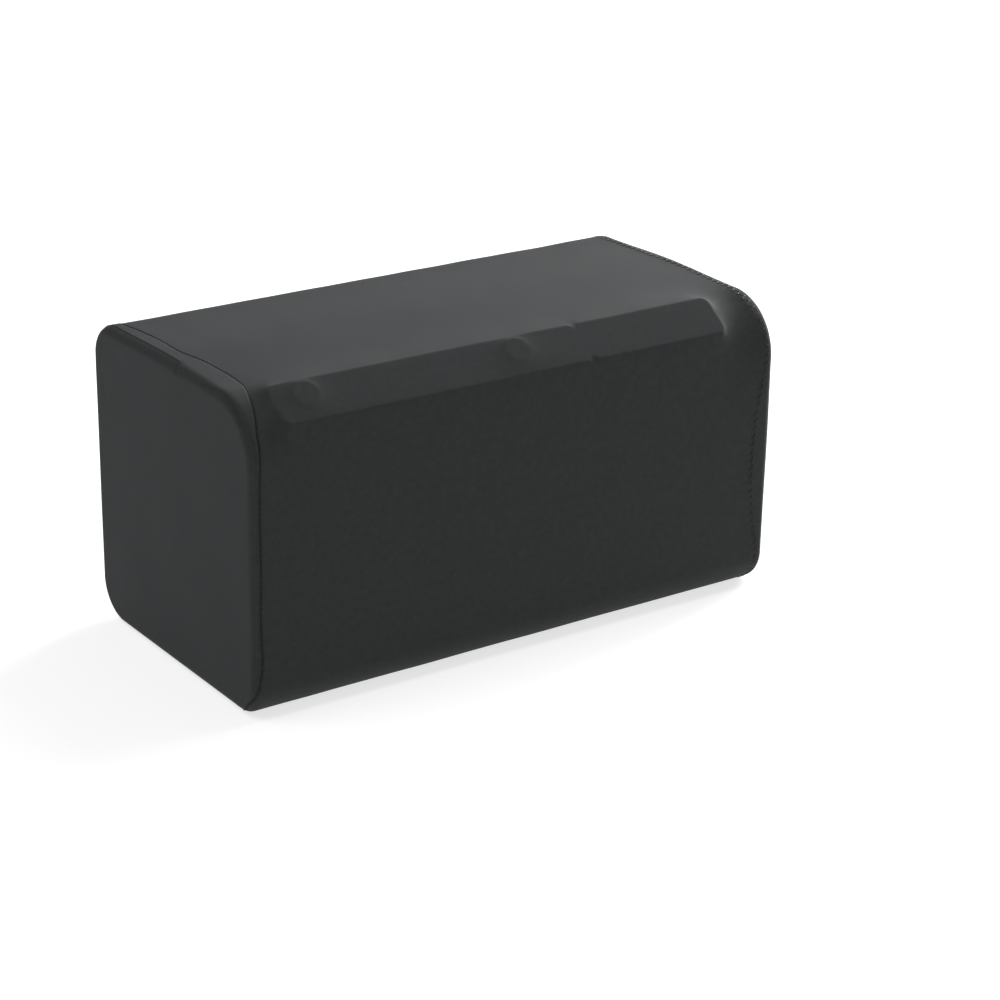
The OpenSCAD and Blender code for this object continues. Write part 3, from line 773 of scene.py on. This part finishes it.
def knit_material(name, dark, light):
    """Fine stretch knit: ribs across, courses along, a soft nap and slight mottling."""
    made, nodes, links, shader = new_material(name)
    place = nodes.new("ShaderNodeUVMap")
    place.uv_map = "cloth"
    uv = place.outputs["UV"]
    courses = wave(nodes, links, uv, "Y", 0.5 * MM)
    ribs = wave(nodes, links, uv, "X", 0.6 * MM)
    weave = combine(nodes, links, "ADD", courses, combine(nodes, links, "MULTIPLY", ribs, 0.6))
    mottle = noise(nodes, 210, 4, 0.65)
    fibres = noise(nodes, 1400, 2, 0.7)
    for texture in (mottle, fibres):
        links.new(uv, texture.inputs["Vector"])
    half_fibres = combine(nodes, links, "MULTIPLY", fibres.outputs["Fac"], 0.5)
    mix = combine(nodes, links, "ADD", mottle.outputs["Fac"], half_fibres)
    mix = combine(nodes, links, "ADD", mix, combine(nodes, links, "MULTIPLY", weave, 0.12))
    shade = nodes.new("ShaderNodeMix")
    shade.data_type = "RGBA"
    shade.inputs[6].default_value = colour(dark)
    shade.inputs[7].default_value = colour(light)
    links.new(ramp(nodes, links, mix, 0.55, 1.15, 0, 1), shade.inputs[0])
    links.new(shade.outputs[2], shader.inputs["Base Color"])
    links.new(ramp(nodes, links, mottle.outputs["Fac"], 0.3, 0.7, 0.78, 0.9), shader.inputs["Roughness"])
    shader.inputs["Specular IOR Level"].default_value = 0.12
    shader.inputs["Sheen Weight"].default_value = 0.05
    shader.inputs["Sheen Roughness"].default_value = 0.45
    shader.inputs["Sheen Tint"].default_value = (0.93, 0.97, 1.0, 1.0)
    fine = bump(nodes, links, weave, 0.12 * MM, 0.45)
    nap = bump(nodes, links, fibres.outputs["Fac"], 0.08 * MM, 0.35, below=fine)
    links.new(nap, shader.inputs["Normal"])
    return made


def plain_material(name, base, rough, metallic=0.0, grain=300.0, depth=0.02, spread=0.12, spec=0.5):
    """Plastic, metal or tape with slight wear in its colour and gloss."""
    made, nodes, links, shader = new_material(name)
    place = nodes.new("ShaderNodeTexCoord")
    speckle = noise(nodes, grain, 4, 0.6)
    wear = noise(nodes, 22, 5, 0.65)
    for texture in (speckle, wear):
        links.new(place.outputs["Object"], texture.inputs["Vector"])
    shade = nodes.new("ShaderNodeMix")
    shade.data_type = "RGBA"
    shade.inputs[6].default_value = colour([c * (1 - spread) for c in base])
    shade.inputs[7].default_value = colour([min(1.0, c * (1 + spread)) for c in base])
    links.new(ramp(nodes, links, wear.outputs["Fac"], 0.35, 0.65, 0, 1), shade.inputs[0])
    links.new(shade.outputs[2], shader.inputs["Base Color"])
    worn = ramp(nodes, links, wear.outputs["Fac"], 0.3, 0.7, rough * 0.85, min(1.0, rough * 1.15))
    links.new(worn, shader.inputs["Roughness"])
    shader.inputs["Metallic"].default_value = metallic
    shader.inputs["Specular IOR Level"].default_value = spec
    links.new(bump(nodes, links, speckle.outputs["Fac"], depth * MM, 0.5), shader.inputs["Normal"])
    return made


DARK_KNIT = (0.0235, 0.0250, 0.0255)
LIGHT_KNIT = (0.0355, 0.0378, 0.0384)
WRAP_KNIT = knit_material("wrap_knit", DARK_KNIT, LIGHT_KNIT)
END_KNIT = knit_material("end_knit", DARK_KNIT, LIGHT_KNIT)
CHANNEL = plain_material("channel_knit", (0.02, 0.021, 0.021), 0.9, grain=2200, depth=0.1, spec=0.2)
# near-black thread, darker than the cloth: partly the thread's own colour, partly painted shade of the seam
# groove and its needle holes
THREAD_AND_SEAM_SHADE = plain_material("thread", (0.004, 0.004, 0.004), 0.6, grain=2500, depth=0.05)
TAPE = plain_material("tape", (0.018, 0.018, 0.019), 0.85, grain=2500, depth=0.08, spec=0.2)
ELASTIC = plain_material("elastic", (0.70, 0.70, 0.66), 0.7, grain=1800, depth=0.1)
LABEL = plain_material("label", (0.78, 0.78, 0.74), 0.6, grain=2200, depth=0.04)
ALUMINIUM = plain_material("aluminium", (0.55, 0.56, 0.58), 0.32, metallic=1.0, grain=900, depth=0.01)
BEAM = plain_material("beam", (0.60, 0.61, 0.63), 0.4, metallic=1.0, grain=700, depth=0.01)
STEEL = plain_material("steel", (0.55, 0.55, 0.57), 0.28, metallic=1.0, grain=1500, depth=0.005)
RAIL = plain_material("rail", (0.028, 0.028, 0.031), 0.5, grain=1500, depth=0.02)
MOULDED = plain_material("moulded", (0.045, 0.045, 0.049), 0.55, grain=1800, depth=0.04)
BAR = plain_material("bar", (0.024, 0.024, 0.027), 0.45, grain=1500, depth=0.02)


def paint(obj, material):
    obj.data.materials.clear()
    obj.data.materials.append(material)
    return obj


# ---------------------------------------------------------------- cloth pieces


def dress(piece, material, slot, *nodes):
    """Paints a piece of the cover, hangs it on the cover's body and hides the CAD nodes that it stands for.
    """
    paint(piece, material)
    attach(piece, "cover")
    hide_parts(*nodes)
    return piece


wrap = dress(wrap_cloth(), WRAP_KNIT, "knit_cloth", "wrap_panel", "front_hem", "rear_hem")
channel = dress(hem_channel(), CHANNEL, "knit_cloth", "hem_casing")
loop = dress(elastic_loop(), ELASTIC, "elastic", "hem_elastic")
label = dress(woven_label(), LABEL, "label_tape", "care_label")

for side in ("left", "right"):
    cloth = dress(end_cloth(side), END_KNIT, "knit_cloth_ends", side + "_end_panel", side + "_hem")
    thread = dress(seam_thread(side), THREAD_AND_SEAM_SHADE, "thread", side + "_seam_thread")
    tape = dress(seam_tape(side), TAPE, "binding_tape", side + "_seam_tape")

# ---------------------------------------------------------------- the frame's own materials

for name, node in frame["nodes"].items():
    if name.endswith("_hoop"):
        paint(node, ALUMINIUM)
    elif name == "bar_beam":
        paint(node, BEAM)
    elif name.endswith("_screws") or name.endswith("_pin"):
        paint(node, STEEL)
    elif name.endswith("_rail"):
        paint(node, RAIL)
    elif name in ("long_bar", "short_bar"):
        paint(node, BAR)
    elif name.endswith(("_clip", "_bracket", "_plug", "_stud")):
        paint(node, MOULDED)

# ---------------------------------------------------------------- floor, light and camera


def area_light(name, place, target, size, power):
    data = bpy.data.lights.new(name, "AREA")
    data.shape = "RECTANGLE"
    data.size, data.size_y = size
    data.energy = power
    made = bpy.data.objects.new(name, data)
    made.location = place
    made.visible_camera = False
    made.rotation_mode = "QUATERNION"
    made.rotation_quaternion = (Vector(target) - Vector(place)).to_track_quat("-Z", "Y")
    bpy.context.scene.collection.objects.link(made)


def floor():
    size = 12.0
    data = bpy.data.meshes.new("floor")
    data.from_pydata(
        [(-size, -size, 0), (size, -size, 0), (size, size, 0), (-size, size, 0)], [], [(0, 1, 2, 3)]
    )
    made = bpy.data.objects.new("floor", data)
    bpy.context.scene.collection.objects.link(made)
    material, _, _, shader = new_material("floor_paper")
    shader.inputs["Base Color"].default_value = (0.50, 0.50, 0.50, 1)
    shader.inputs["Roughness"].default_value = 0.9
    shader.inputs["Specular IOR Level"].default_value = 0.1
    shader.inputs["Emission Color"].default_value = (1, 1, 1, 1)
    shader.inputs["Emission Strength"].default_value = 0.70
    data.materials.append(material)
    made.location.z = -0.2 * MM


def world(strength):
    made = bpy.data.worlds.new("studio")
    made.use_nodes = True
    made.node_tree.nodes["Background"].inputs["Color"].default_value = (1.0, 1.0, 1.0, 1)
    made.node_tree.nodes["Background"].inputs["Strength"].default_value = strength
    bpy.context.scene.world = made


def camera():
    """Stands where the reference view was taken from, and looks a little past the middle."""
    azimuth, elevation, distance = math.radians(-33.844), math.radians(20.807), 1.6654
    yaw, pitch, roll = math.radians(1.309), math.radians(-0.932), math.radians(1.009)
    back = Vector((
        math.sin(azimuth) * math.cos(elevation), -math.cos(azimuth) * math.cos(elevation), math.sin(elevation)
    ))
    data = bpy.data.cameras.new("camera")
    data.lens = 96.55
    data.sensor_width = 36.0
    data.clip_end = 50.0
    made = bpy.data.objects.new("camera", data)
    bpy.context.scene.collection.objects.link(made)
    ahead = -back
    right = ahead.cross(Vector((0, 0, 1))).normalized()
    up = right.cross(ahead)
    ahead = (ahead + right * math.tan(yaw) + up * math.tan(pitch)).normalized()
    right = ahead.cross(Vector((0, 0, 1))).normalized()
    up = right.cross(ahead)
    right, up = (
        right * math.cos(roll) + up * math.sin(roll),
        up * math.cos(roll) - right * math.sin(roll),
    )
    turn = Matrix((right, up, -ahead)).transposed().to_4x4()
    turn.translation = Vector((0, 0, TOP / 2)) + back * distance
    made.matrix_world = turn
    bpy.context.scene.camera = made


floor()
world(0.30)
area_light("overhead_left", (-0.9, 0.1, 1.5), (0, 0, 0.1), (1.0, 1.0), 7.6)
area_light("overhead_right", (1.0, 0.1, 1.4), (0, 0, 0.1), (1.0, 1.0), 16.7)
area_light("far_right", (3.2, 1.2, 1.1), (0, 0, 0.15), (1.5, 1.5), 177)
camera()
bpy.context.scene.view_settings.view_transform = "Standard"
